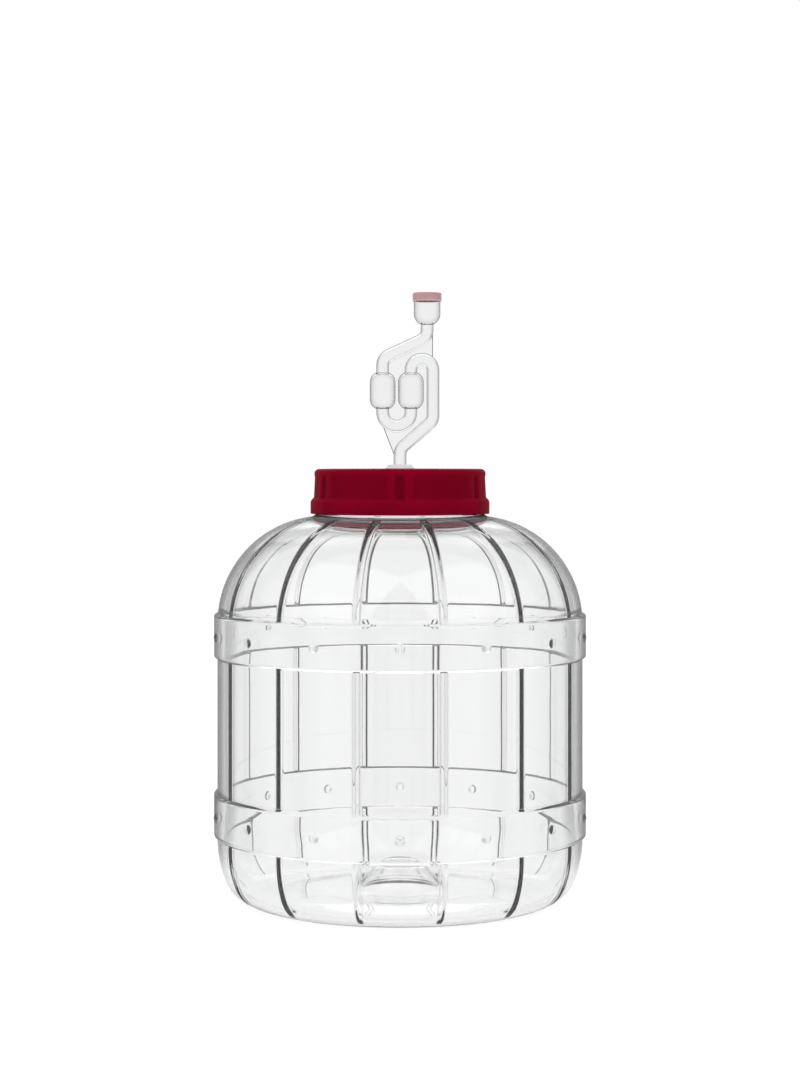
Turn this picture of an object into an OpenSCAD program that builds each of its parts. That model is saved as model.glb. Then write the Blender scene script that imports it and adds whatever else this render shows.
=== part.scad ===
// Fermentation jar with a screw lid and a twin-bulb airlock.
// Millimetres. The origin is the centre of the foot, +Z is up, and the front stave faces -Y.
// The lid is screwed home, and the airlock stands in the grommet with its cup towards +X.

/* [Jar body] */
// Height of the jar from the foot to the rim
jar_h = 288; // [270:1:320]
// Outer radius of the staves
body_r = 123.8; // [112:0.2:136]
// Thickness of the body, the shoulder and the floor
wall = 5; // [4.2:0.1:6]
// Radius of the arc that rounds the shoulder
shoulder_arc_r = 72; // [64:1:80]
// Radius of the long arc that draws the body in above the foot
heel_arc_r = 70; // [64:1:78]
// Height at which the body starts to draw in
heel_h = 42; // [38:0.5:46]
// How far the foot's outer edge lies inside the body
foot_inset = 28.8; // [26:0.2:32]
// Width of the flat ring that the jar stands on
foot_w = 6; // [4:0.5:8]
// How far the floor rises just inside the foot
floor_rise = 3; // [1:0.5:5]
// Radius of the kick-up in the middle of the floor
punt_r = 35; // [28:1:40]
// Height of the kick-up
punt_h = 21; // [12:1:26]

/* [Staves] */
// Number of staves round the jar
stave_count = 14; // [10:1:18]
// Width of the groove between two staves, at the surface
groove_w = 5.6; // [4.4:0.1:7]
// Width of the groove's floor
groove_floor_w = 3.2; // [2:0.1:4]
// Depth of the groove
groove_depth = 2.6; // [1.6:0.1:3.2]
// Distance between the neck and the upper ends of the grooves
groove_top_gap = 13.5; // [9:0.5:20]

/* [Hoops] */
// Height of each hoop
hoop_h = 30.5; // [22:0.5:36]
// How far the hoops stand out from the staves
hoop_proud = 2.3; // [1.2:0.1:3]
// Chamfer along both edges of a hoop
hoop_chamfer = 1.4; // [0.6:0.1:2]
// Height of the lower hoop's bottom edge
lower_hoop_z = 44.5; // [42:0.5:60]
// Height of the upper hoop's bottom edge
upper_hoop_z = 165; // [140:0.5:170]
// Diameter of a rivet head
rivet_d = 7; // [5:0.5:9]
// Height of a rivet head
rivet_h = 1.6; // [0.8:0.1:2]

/* [Neck] */
// Outer radius of the neck
neck_r = 54.4; // [48:0.2:60]
// Thickness of the neck
neck_wall = 3.9; // [3.4:0.1:5]
// Height of the neck above the shoulder
neck_h = 27.1; // [26:0.1:32]
// Radius of the fillet at the foot of the neck
neck_fillet_r = 8; // [5:0.5:8]
// Radius of the glass edge inside the mouth, where the neck meets the shoulder
mouth_edge_r = 6; // [3:0.5:7]
// Number of thread starts
thread_starts = 6; // [4:1:8]
// Length of each thread, in degrees
thread_span = 50; // [30:1:50]
// Rise of the thread over a full turn
thread_lead = 38; // [36:0.5:44]
// How far the thread stands out from the neck
thread_proud = 1.6; // [1.2:0.1:2]
// Width of the thread at its crest
thread_crest = 1.2; // [0.8:0.1:1.6]
// Width of the thread at the neck
thread_root = 2.4; // [1.8:0.1:2.6]
// Distance from the rim down to the middle of the thread
thread_drop = 10.5; // [9.5:0.1:11]
// How far the bead below the thread stands out
bead_proud = 3.4; // [2:0.1:4]
// Height of the bead
bead_h = 3.7; // [3:0.1:4]
// Distance from the rim down to the middle of the bead
bead_drop = 18.7; // [18.2:0.1:19.4]

/* [Lid] */
// Height of the lid
lid_h = 30.3; // [28:0.1:31]
// Thickness of the lid's side
lid_wall = 1.7; // [1.4:0.1:2.4]
// Thickness of the lid's top
lid_top = 2.5; // [2:0.1:4]
// Height of the wide skirt at the lid's lower edge
lid_skirt_h = 8.2; // [6:0.2:9]
// Height of the flare between the side and the skirt
lid_flare_h = 3; // [2:0.1:4]
// How much the side leans in towards the top
lid_draft = 0.8; // [0:0.1:1]
// Radius of the lid's upper edge
lid_edge_r = 3.2; // [2:0.1:4]
// Depth of the panels between the grips
panel_depth = 0.5; // [0.2:0.1:0.7]
// Height of the plain border above the panels
panel_border = 4.6; // [4:0.1:7]
// Number of grips, each a pair of ribs with a notch between them
grip_count = 6; // [4:1:10]
// Width of a whole grip
grip_w = 17.6; // [12:0.2:24]
// Width of the notch in the middle of a grip
notch_w = 5.8; // [3:0.2:8]
// Depth of the notch
notch_depth = 1; // [0.4:0.1:1.1]
// Length of each lug that rides under a thread, in degrees
lug_span = 16; // [8:1:20]
// Thickness of a lug
lug_h = 1.8; // [1.2:0.1:2.2]

/* [Sealing ring] */
// Thickness of the sealing ring
seal_t = 1.7; // [1:0.1:3]
// How far the ring reaches inside the mouth
seal_inset = 1.5; // [0.5:0.1:3]

/* [Grommet] */
// Diameter of the grommet's body and of its waist
grommet_d = 13.7; // [11.4:0.1:16]
// Diameter of the grommet's two flanges
flange_d = 19.5; // [17:0.1:24]
// Diameter of the grommet's top face
grommet_top_d = 15.7; // [14:0.1:18]
// Length of the body below the lower flange
grommet_body_h = 7.2; // [4:0.1:10]
// Thickness of the lower flange
lower_flange_t = 1.3; // [0.8:0.1:2]
// Thickness of the upper flange
upper_flange_t = 3; // [2:0.1:4]

/* [Airlock] */
// Outer diameter of the airlock's tube
tube_d = 8.6; // [8:0.1:9.2]
// Wall of the tube, the bulbs and the cup
tube_wall = 1.1; // [0.8:0.05:1.4]
// Diameter of the stem's thin tip
tip_d = 7.3; // [6.4:0.1:7.8]
// Length of the thin tip
tip_h = 6.3; // [3:0.1:7]
// How far the tip reaches below the grommet
tip_out = 4; // [2:0.5:8]
// Height of the stem's bend above the tip
stem_h = 28.4; // [27:0.1:34]
// Height of the outer leg's lower bend above the tip
leg_z = 48.1; // [46:0.1:50]
// Distance of the outer leg from the stem
leg_x = 22.4; // [21.6:0.1:26]
// Distance of the bulb near the leg from the stem
near_bulb_x = 7.4; // [6.4:0.1:8]
// Distance of the bulb under the cup's tube from the stem, on the other side
far_bulb_x = 11.8; // [11.2:0.1:14]
// Height of the bulbs' lower ends above the tip
bulb_z = 55.5; // [54:0.1:58]
// Height of a bulb
bulb_h = 25.7; // [22:0.1:26]
// Outer diameter of a bulb
bulb_d = 17.4; // [15:0.1:17.8]
// Radius of the bulbs' shoulders
bulb_edge_r = 7; // [4:0.1:7.4]
// Straight length of tube below each bulb
trap_drop = 1.6; // [0.6:0.1:4]
// Straight length of tube between the near bulb and the loop
loop_rise = 1.1; // [0.5:0.1:3]
// Height of the bend above the far bulb, over the bulb's top
crossing_rise = 9.3; // [8.6:0.1:12]
// Height of the bend below the cup, above the tip
crossing_z = 104.5; // [103:0.1:108]
// Distance of the cup from the stem
cup_x = 18.4; // [17:0.1:20]
// Height of the cup's bottom above the tip
cup_z = 112.7; // [112:0.1:118]
// Height of the cup
cup_h = 20.7; // [16:0.1:26]
// Outer diameter of the cup
cup_d = 18; // [16:0.1:20]
// Radius of the cup's lower edge
cup_edge_r = 8; // [4:0.1:8]
// Radius of the tube's bends, along its middle
bend_r = 7.6; // [6:0.1:8]
// Thickness of the web between the tubes
web_t = 1.3; // [0.8:0.1:2]
// Height above the tip at which the web's lower edge would meet the middle of the stem
web_z = 14; // [12:0.1:18]

/* [Airlock cap] */
// Height of the cap
cap_h = 6; // [5:0.1:12]
// Thickness of the cap's side
cap_wall = 0.75; // [0.6:0.05:1.2]
// Thickness of the cap's top
cap_top = 1.2; // [0.8:0.1:2]
// Diameter of each vent hole in the cap
vent_d = 1; // [0.6:0.1:1.6]
// Number of vent holes
vent_count = 4; // [2:1:6]

/* [Clearances] */
// Gap between pieces that are only laid or screwed against each other
seat_gap = 0.3; // [0.1:0.05:0.4]
// Gap all round the grommet's waist in the lid
waist_gap = 0.1; // [0.05:0.05:0.3]
// Radial gap between the stem and the grommet's bore
stem_gap = 0.05; // [0.02:0.01:0.1]
// Radial gap between the cup and its cap
cap_gap = 0.1; // [0.05:0.05:0.2]
// Radial gap between the thread's crest and the lid's side
thread_gap = 1.3; // [0.8:0.1:2]
// Radial gap between the bead and the lid's skirt
bead_gap = 1.3; // [0.8:0.1:2]
// Radial gap between a lug and the neck
lug_gap = 0.5; // [0.3:0.1:0.8]

/* [Hidden] */

clear_over = 3; // how far a cutter runs past the surface that it cuts
recess_over = 1; // how far the recesses of the lid's side run out past the skirt
join_step = 0.04; // how much thinner a length is than the one it runs into, so that they cross
join_in = 0.3; // how far it runs in
front = -90; // the direction of the front stave, as an angle from +X

// Jar, worked out from the sizes above
shoulder_z = jar_h - neck_h - shoulder_arc_r;
shoulder_c = body_r - shoulder_arc_r;
heel_c = body_r - heel_arc_r;
foot_r = body_r - foot_inset;
foot_in = foot_r - foot_w;
heel_reach = heel_arc_r - foot_inset;
heel_edge_r = (pow(heel_arc_r, 2) - pow(heel_reach, 2) - pow(heel_h, 2)) / (2 * (heel_arc_r - heel_h));
heel_join = atan2(heel_h - heel_edge_r, heel_reach);
heel_run_out = 24; // degrees of arc in which a groove runs out under the heel
heel_end = heel_join + heel_run_out;
stave_step = 360 / stave_count;
hoop_bottoms = [lower_hoop_z, upper_hoop_z];
rivet_r = (pow(rivet_d / 2, 2) + pow(rivet_h, 2)) / (2 * rivet_h);
mouth_r = neck_r - neck_wall;
thread_z = jar_h - thread_drop;
thread_root_in = 0.6;
thread_tilt = atan(thread_lead / (2 * PI * (neck_r + thread_proud / 2)));

// Lid, sealing ring and grommet
seal_z = jar_h + seat_gap;
lid_under_z = seal_z + seal_t + seat_gap;
lid_z = lid_under_z + lid_top - lid_h;
lid_in_r = neck_r + thread_proud + thread_gap;
lid_r = lid_in_r + lid_wall;
skirt_r = neck_r + bead_proud + bead_gap + lid_wall;
grip_step = 360 / grip_count;
grip_turn = 2 * asin(grip_w / 2 / lid_r);
notch_turn = 2 * asin(notch_w / 2 / lid_r);
panel_z0 = lid_skirt_h + lid_flare_h / 2;
panel_z1 = lid_h - panel_border;
lid_hole_r = grommet_d / 2 + waist_gap;
waist_h = lid_top + 2 * waist_gap;
grommet_z = lid_under_z - waist_gap - lower_flange_t - grommet_body_h;
grommet_h = grommet_body_h + lower_flange_t + waist_h + upper_flange_t;
flange_edge_h = 0.8; // height of the upper flange's outer edge, below its dome

// Airlock, with heights above the tip of its stem
tip_z = grommet_z - tip_out;
tube_r = tube_d / 2;
bore_r = tube_r - tube_wall;
loop_r = (leg_x - near_bulb_x) / 2;
trap_r = (near_bulb_x + far_bulb_x) / 2;
loop_z = bulb_z + bulb_h + loop_rise + loop_r;
trap_z = bulb_z - trap_drop - trap_r;
far_top_z = bulb_z + bulb_h + crossing_rise;
// Corners of the tube's route, each as x, height and bend radius
route = [
  [0, tip_h, 0],
  [0, stem_h, bend_r],
  [leg_x, leg_z, bend_r],
  [leg_x, loop_z, loop_r],
  [near_bulb_x, loop_z, loop_r],
  [near_bulb_x, trap_z, trap_r],
  [-far_bulb_x, trap_z, trap_r],
  [-far_bulb_x, far_top_z, bend_r],
  [cup_x, crossing_z, bend_r],
  [cup_x, cup_z + cup_edge_r / 2, 0]
];
trap_c = (near_bulb_x - far_bulb_x) / 2;
trap_reach = trap_r + 0.8 * tube_r;
web_corner = 30; // degrees below the level at which the web's lower corner meets the trap
web_right = cup_x + tube_r - join_in;
web_outline = [
  [0, web_z],
  [trap_c - trap_reach * cos(web_corner), trap_z + trap_r - trap_reach * sin(web_corner)],
  [-far_bulb_x, bulb_z],
  [-far_bulb_x, far_top_z],
  [cup_x, crossing_z],
  [cup_x, cup_z],
  [web_right, cup_z],
  [web_right, loop_z - loop_r],
  [leg_x, leg_z],
  [0, stem_h]
];

// Profiles are drawn with x as the distance from the axis and y as the height

// Height of the underside of the floor at a distance from the axis
function floor_z(r) =
  r >= foot_in ? 0
  : floor_rise * (1 - cos(min(180, 180 * (foot_in - r) / foot_w))) / 2
    + (r < punt_r ? punt_h * pow(cos(90 * pow(r / punt_r, 2)), 2) : 0);

module floor_outline(lift) {
  foot_steps = [for (i = [0:4]) foot_in - i * foot_w / 4];
  punt_steps = [for (i = [0:12]) punt_r * (1 - i / 12)];
  polygon(concat(
    [[0, heel_h], [foot_r, heel_h], [foot_r, lift]],
    [for (r = concat(foot_steps, punt_steps)) [r, floor_z(r) + lift]]
  ));
}

// The half outline of the jar, drawn in by inset all round for the hollow
module body_outline(inset) {
  // floor and heel
  floor_outline(inset);
  translate([foot_r, heel_edge_r]) circle(heel_edge_r - inset);
  intersection() {
    translate([heel_c, heel_h]) circle(heel_arc_r - inset);
    translate([foot_r, heel_h - heel_arc_r * sin(heel_join)])
      square([body_r, heel_arc_r * sin(heel_join)]);
  }
  // side and shoulder
  translate([0, heel_h]) square([body_r - inset, shoulder_z - heel_h]);
  intersection() {
    translate([shoulder_c, shoulder_z]) circle(shoulder_arc_r - inset);
    translate([shoulder_c, shoulder_z]) square(shoulder_arc_r);
  }
  translate([0, shoulder_z]) square([shoulder_c, shoulder_arc_r - inset]);
}

// A concave corner between a vertical wall at wall_r and the shoulder's arc
module shoulder_fillet(wall_r, arc_r, r) {
  reach = wall_r + r - shoulder_c;
  rise = sqrt(pow(arc_r + r, 2) - pow(reach, 2));
  share = arc_r / (arc_r + r);
  difference() {
    polygon([
      [wall_r, shoulder_z + rise],
      [wall_r + r, shoulder_z + rise],
      [shoulder_c + reach * share, shoulder_z + rise * share],
      [wall_r, shoulder_z + rise * share - r]
    ]);
    translate([wall_r + r, shoulder_z + rise]) circle(r);
  }
}

module neck_outline() {
  lip_r = neck_wall / 2;
  translate([0, shoulder_z]) square([neck_r, jar_h - lip_r - shoulder_z]);
  translate([neck_r - lip_r, jar_h - lip_r]) circle(lip_r);
  shoulder_fillet(neck_r, shoulder_arc_r, neck_fillet_r);
  translate([0, jar_h - bead_drop - bead_h / 2]) {
    square([neck_r + bead_proud - bead_h / 2, bead_h]);
    translate([neck_r + bead_proud - bead_h / 2, bead_h / 2]) circle(bead_h / 2);
  }
}

module hoop_outline(z) {
  polygon([
    [foot_r, z],
    [body_r, z],
    [body_r + hoop_proud, z + hoop_chamfer],
    [body_r + hoop_proud, z + hoop_h - hoop_chamfer],
    [body_r, z + hoop_h],
    [foot_r, z + hoop_h]
  ]);
}

module hollow_outline() {
  body_outline(wall);
  translate([0, shoulder_z]) square([mouth_r, jar_h + clear_over - shoulder_z]);
  shoulder_fillet(mouth_r, shoulder_arc_r - wall, mouth_edge_r);
}

// Section of a groove, with its surface at distance r from the centre it is swept round, and
// narrower and shallower by less where one length runs into another
module groove_section(r, less) {
  lean = (groove_w - groove_floor_w) / 2 / groove_depth;
  floor_w = groove_floor_w / 2 - less;
  over_w = groove_w / 2 + lean * clear_over - less;
  polygon([
    [r - groove_depth + less, -floor_w],
    [r + clear_over, -over_w],
    [r + clear_over, over_w],
    [r - groove_depth + less, floor_w]
  ]);
}

// A groove along an arc, in the plane of the axis, from one angle to another
module groove_arc(centre_r, centre_z, r, from, to) {
  translate([centre_r, 0, centre_z])
    rotate([90, 0, 0])
      rotate([0, 0, min(from, to)])
        rotate_extrude(angle = abs(to - from), $fn = 180)
          groove_section(r, 0);
}

// The rounded end of a groove on an arc
module groove_end(centre_r, centre_z, r, at) {
  lean = (groove_w - groove_floor_w) / 2 / groove_depth;
  translate([centre_r, 0, centre_z])
    rotate([0, -at, 0])
      translate([r - groove_depth, 0, 0])
        rotate([0, 90, 0])
          cylinder(
            h = groove_depth + clear_over,
            r1 = groove_floor_w / 2 - join_step,
            r2 = groove_w / 2 + lean * clear_over - join_step,
            $fn = 48
          );
}

// A straight length, which runs a little into what it meets at either end
module groove_straight(z0, z1) {
  translate([0, 0, z0 - join_in])
    linear_extrude(z1 - z0 + 2 * join_in) groove_section(body_r, join_step);
}

// One groove from the heel to the shoulder, broken where the hoops cross it. Its lower end keeps
// to the long arc and runs out where the heel turns in under it.
module groove() {
  hoop_tops = [for (z = hoop_bottoms) z + hoop_h];
  shoulder_from = asin(max(0, hoop_tops[1] - join_in - shoulder_z) / shoulder_arc_r);
  shoulder_to = acos((neck_r + groove_top_gap - shoulder_c) / shoulder_arc_r);
  groove_straight(heel_h, lower_hoop_z);
  groove_straight(hoop_tops[0], upper_hoop_z);
  if (hoop_tops[1] < shoulder_z) groove_straight(hoop_tops[1], shoulder_z);
  groove_arc(shoulder_c, shoulder_z, shoulder_arc_r, shoulder_from, shoulder_to);
  groove_end(shoulder_c, shoulder_z, shoulder_arc_r, shoulder_to);
  groove_arc(heel_c, heel_h, heel_arc_r, -heel_end, 0);
}

// A ridge round the axis that rises like the thread, as an arc tilted about its middle
module rising_ridge(root_r, crest_r, root, crest, span) {
  outline = [[root_r, -root / 2], [crest_r, -crest / 2], [crest_r, crest / 2], [root_r, root / 2]];
  rotate([thread_tilt, 0, 0]) {
    rotate([0, 0, -span / 2]) rotate_extrude(angle = span, $fn = 180) polygon(outline);
    for (end = [-span / 2, span / 2])
      rotate([0, 0, end])
        translate([root_r, 0, 0])
          rotate([0, 90, 0])
            cylinder(
              h = crest_r - root_r - join_step,
              r1 = root / 2 - join_step,
              r2 = crest / 2 - join_step,
              $fn = 32
            );
  }
}

module jar() color([0.86, 0.9, 0.92]) {
  difference() {
    union() {
      rotate_extrude($fn = 180) {
        body_outline(0);
        neck_outline();
        for (z = hoop_bottoms) hoop_outline(z);
      }
      for (i = [0:stave_count - 1], z = hoop_bottoms)
        rotate([0, 0, front + i * stave_step])
          translate([body_r + hoop_proud + rivet_h - rivet_r, 0, z + hoop_h / 2])
            sphere(rivet_r, $fn = 48);
      for (i = [0:thread_starts - 1])
        rotate([0, 0, front + (i + 0.5) * 360 / thread_starts])
          translate([0, 0, thread_z])
            rising_ridge(
              neck_r - thread_root_in, neck_r + thread_proud,
              thread_root, thread_crest, thread_span
            );
    }
    rotate_extrude($fn = 180) hollow_outline();
    for (i = [0:stave_count - 1])
      rotate([0, 0, front + (i + 0.5) * stave_step]) groove();
  }
}

// Outline of the lid's outside, with its height measured from the lid's lower edge
module lid_outline() {
  polygon([
    [0, 0],
    [skirt_r, 0],
    [skirt_r, lid_skirt_h],
    [lid_r, lid_skirt_h + lid_flare_h],
    [lid_r - lid_draft, lid_h - lid_edge_r],
    [lid_r - lid_draft - lid_edge_r, lid_h - lid_edge_r],
    [lid_r - lid_draft - lid_edge_r, lid_h],
    [0, lid_h]
  ]);
  translate([lid_r - lid_draft - lid_edge_r, lid_h - lid_edge_r]) circle(lid_edge_r);
}

module lid_hollow_outline() {
  top = lid_h - lid_top;
  polygon([
    [0, -clear_over],
    [skirt_r - lid_wall, -clear_over],
    [skirt_r - lid_wall, lid_skirt_h],
    [lid_in_r, lid_skirt_h + lid_flare_h],
    [lid_in_r - lid_draft, top],
    [0, top]
  ]);
}

// A recess in the lid's side, of a depth and a length in degrees, about the grip's middle
module side_recess(depth, from, to) {
  slope = lid_draft / (lid_h - lid_skirt_h - lid_flare_h);
  rotate([0, 0, from])
    rotate_extrude(angle = to - from, $fn = 180)
      polygon([
        [lid_r - depth, lid_skirt_h + lid_flare_h],
        [skirt_r + recess_over, panel_z0 - (skirt_r - lid_r)],
        [skirt_r + recess_over, panel_z1 + depth],
        [lid_r - lid_draft, panel_z1 + depth],
        [lid_r - depth - slope * (panel_z1 - lid_skirt_h - lid_flare_h), panel_z1]
      ]);
}

module lid() color([0.49, 0.01, 0.11]) translate([0, 0, lid_z]) {
  difference() {
    rotate_extrude($fn = 180) lid_outline();
    rotate_extrude($fn = 180) lid_hollow_outline();
    cylinder(h = lid_h + clear_over, r = lid_hole_r, $fn = 64);
    for (i = [0:grip_count - 1])
      rotate([0, 0, front + i * grip_step]) {
        side_recess(panel_depth, grip_turn / 2, grip_step - grip_turn / 2);
        side_recess(notch_depth, -notch_turn / 2, notch_turn / 2);
      }
  }
  // lugs halfway between two threads
  for (i = [0:thread_starts - 1])
    rotate([0, 0, front + (i + 0.5) * 360 / thread_starts])
      translate([0, 0, thread_z - thread_lead / thread_starts / 2 - lid_z])
        rising_ridge(neck_r + lug_gap, lid_in_r + lid_wall / 2, lug_h, lug_h, lug_span);
}

module lid_gasket() color([0.93, 0.92, 0.9])
  translate([0, 0, seal_z])
    difference() {
      cylinder(h = seal_t, r = neck_r + thread_proud, $fn = 180);
      translate([0, 0, -clear_over])
        cylinder(h = seal_t + 2 * clear_over, r = mouth_r - seal_inset, $fn = 180);
    }

module grommet() color([0.9, 0.87, 0.87])
  translate([0, 0, grommet_z])
    difference() {
      rotate_extrude($fn = 96)
        polygon([
          [0, 0],
          [grommet_d / 2, 0],
          [grommet_d / 2, grommet_body_h],
          [flange_d / 2, grommet_body_h + lower_flange_t / 2],
          [flange_d / 2, grommet_body_h + lower_flange_t],
          [grommet_d / 2, grommet_body_h + lower_flange_t],
          [grommet_d / 2, grommet_body_h + lower_flange_t + waist_h],
          [flange_d / 2, grommet_body_h + lower_flange_t + waist_h],
          [flange_d / 2, grommet_body_h + lower_flange_t + waist_h + flange_edge_h],
          [grommet_top_d / 2, grommet_h],
          [0, grommet_h]
        ]);
      translate([0, 0, -clear_over])
        cylinder(h = grommet_h + 2 * clear_over, r = tube_r + stem_gap, $fn = 64);
    }

// The route's tube, with straight runs between bends of the given radii
function unit(v) = v / norm(v);
function xz(p) = [p[0], p[1]];
function turn_at(i) =
  let (a = unit(xz(route[i]) - xz(route[i - 1])), b = unit(xz(route[i + 1]) - xz(route[i])))
  atan2(a[0] * b[1] - a[1] * b[0], a[0] * b[0] + a[1] * b[1]);
function setback(i) =
  i == 0 || i == len(route) - 1 ? 0 : route[i][2] * tan(abs(turn_at(i)) / 2);

// A length of tube along +Z, whole or only its half on the +Y side
module tube_run(h, r, turn) {
  rotate_extrude(angle = turn, $fn = 48) square([r, h]);
}

// Section of a bend, whole or only the half that comes to lie on the +Y side
module bend_section(r, turn) {
  intersection() {
    circle(r, $fn = 48);
    if (turn < 360) translate([-r, -r]) square([2 * r, r]);
    else square(4 * r, center = true);
  }
}

module route_tube(r, turn) {
  for (i = [0:len(route) - 2]) {
    way = unit(xz(route[i + 1]) - xz(route[i]));
    start = xz(route[i]) + way * setback(i);
    run = norm(xz(route[i + 1]) - xz(route[i])) - setback(i) - setback(i + 1);
    if (run > 0.01)
      translate([start[0], 0, start[1]])
        rotate([0, atan2(way[0], way[1]), 0])
          translate([0, 0, i == 0 ? 0 : -join_in])
            tube_run(run + (i == 0 ? 1 : 2) * join_in, r, turn);
  }
  for (i = [1:len(route) - 2]) {
    way = unit(xz(route[i]) - xz(route[i - 1]));
    bend = turn_at(i);
    side = bend > 0 ? [-way[1], way[0]] : [way[1], -way[0]];
    centre = xz(route[i]) - way * setback(i) + side * route[i][2];
    from = atan2(-side[1], -side[0]);
    translate([centre[0], 0, centre[1]])
      rotate([90, 0, 0])
        rotate([0, 0, min(from, from + bend)])
          rotate_extrude(angle = abs(bend), $fn = 96)
            translate([route[i][2], 0]) bend_section(r + join_step, turn);
  }
}

// The part of a disc that rounds the outer corner of a half outline
module corner_disc(r, edge, z) {
  intersection() {
    translate([r - edge, z]) circle(edge, $fn = 64);
    translate([r - edge, z - edge]) square([edge, 2 * edge]);
  }
}

// Half outline of a bulb, rounded at both ends
module bulb_outline(r, h, edge) {
  translate([0, edge]) square([r, h - 2 * edge]);
  square([r - edge, h]);
  corner_disc(r, edge, edge);
  corner_disc(r, edge, h - edge);
}

module bulb(inset, turn) {
  translate([0, 0, bulb_z + inset])
    rotate_extrude(angle = turn, $fn = 72)
      bulb_outline(bulb_d / 2 - inset, bulb_h - 2 * inset, bulb_edge_r - inset);
}

module cup(inset, over, turn) {
  r = cup_d / 2 - inset;
  edge = cup_edge_r - inset;
  h = cup_h - inset + over;
  translate([cup_x, 0, cup_z + inset])
    rotate_extrude(angle = turn, $fn = 72) {
      translate([0, edge]) square([r, h - edge]);
      square([r - edge, h]);
      corner_disc(r, edge, edge);
    }
}

// The airlock's outside, as the half on the +Y side, or its whole hollow with the wall as inset
module airlock_form(inset, turn) {
  over = inset > 0 ? clear_over : 0;
  translate([0, 0, -over]) tube_run(tip_h + over + join_in, tip_d / 2 - inset, turn);
  route_tube(tube_r - inset, turn);
  translate([near_bulb_x, 0, 0]) bulb(inset, turn);
  translate([-far_bulb_x, 0, 0]) bulb(inset, turn);
  cup(inset, over, turn);
}

// The half on the +Y side, welded to its mirror image along the web
module airlock_half() color([0.88, 0.9, 0.91])
  difference() {
    union() {
      airlock_form(0, 180);
      rotate([-90, 0, 0]) mirror([0, 1, 0]) linear_extrude(web_t / 2) polygon(web_outline);
    }
    airlock_form(tube_wall, 360);
  }

module airlock_front_half() translate([0, 0, tip_z]) mirror([0, 1, 0]) airlock_half();

module airlock_rear_half() translate([0, 0, tip_z]) airlock_half();

module airlock_cap() color([0.84, 0.6, 0.62]) {
  r = cup_d / 2 + cap_gap + cap_wall;
  top_z = tip_z + cup_z + cup_h + seat_gap + cap_top;
  translate([cup_x, 0, top_z - cap_h])
    difference() {
      cylinder(h = cap_h, r = r, $fn = 96);
      translate([0, 0, -clear_over])
        cylinder(h = cap_h - cap_top + clear_over, r = r - cap_wall, $fn = 96);
      for (i = [0:vent_count - 1])
        rotate([0, 0, (i + 0.5) * 360 / vent_count])
          translate([cup_d / 4, 0, 0]) cylinder(h = cap_h + clear_over, r = vent_d / 2, $fn = 24);
    }
}

jar();
lid();
lid_gasket();
grommet();
airlock_front_half();
airlock_rear_half();
airlock_cap();
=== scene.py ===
import bpy
import math
import numpy as np
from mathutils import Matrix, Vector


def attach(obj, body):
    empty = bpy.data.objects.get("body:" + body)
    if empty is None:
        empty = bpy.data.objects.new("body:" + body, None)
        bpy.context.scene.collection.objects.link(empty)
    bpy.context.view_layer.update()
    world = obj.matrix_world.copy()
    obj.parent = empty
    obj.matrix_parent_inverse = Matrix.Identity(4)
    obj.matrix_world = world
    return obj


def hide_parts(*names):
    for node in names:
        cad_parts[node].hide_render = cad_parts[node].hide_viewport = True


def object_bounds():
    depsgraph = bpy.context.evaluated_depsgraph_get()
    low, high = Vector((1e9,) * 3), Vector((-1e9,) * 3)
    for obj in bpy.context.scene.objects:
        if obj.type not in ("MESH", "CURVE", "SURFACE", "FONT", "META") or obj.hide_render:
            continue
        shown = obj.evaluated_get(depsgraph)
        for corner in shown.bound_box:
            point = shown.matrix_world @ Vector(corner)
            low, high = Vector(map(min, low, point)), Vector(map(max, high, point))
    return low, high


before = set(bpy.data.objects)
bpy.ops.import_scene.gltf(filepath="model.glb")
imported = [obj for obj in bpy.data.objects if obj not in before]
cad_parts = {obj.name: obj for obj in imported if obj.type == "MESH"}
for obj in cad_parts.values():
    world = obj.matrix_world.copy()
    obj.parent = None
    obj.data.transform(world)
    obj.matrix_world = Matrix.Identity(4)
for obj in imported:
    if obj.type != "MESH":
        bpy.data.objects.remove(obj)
cadLow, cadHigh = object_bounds()
mm = 0.001

# Camera: the photograph's frame, with its horizon above the middle and the jar's axis in the middle
view = {
    "frameHigh": 1067,
    "focalPixels": 2375,      # distance to the jar, counted in pixels of the frame
    "pixelSize": 0.68 * mm,   # size of a pixel at the jar's axis
    "horizonRow": 457,
    "footRow": 899.5,         # row of the floor, at the jar's axis
    "sensor": 36,
}


def makeCamera():
    bpy.ops.object.select_all(action="DESELECT")
    away = view["focalPixels"] * view["pixelSize"]
    high = (view["footRow"] - view["horizonRow"]) * view["pixelSize"]
    bpy.ops.object.camera_add(location=(0, -away, high), rotation=(math.radians(90), 0, 0))
    camera = bpy.context.object
    camera.data.sensor_width = view["sensor"]
    camera.data.lens = view["focalPixels"] / view["frameHigh"] * view["sensor"]
    camera.data.shift_y = (view["horizonRow"] - view["frameHigh"] / 2) / view["frameHigh"]
    bpy.context.scene.camera = camera
    bpy.context.scene.view_settings.view_transform = "Standard"
    print("camera")


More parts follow.
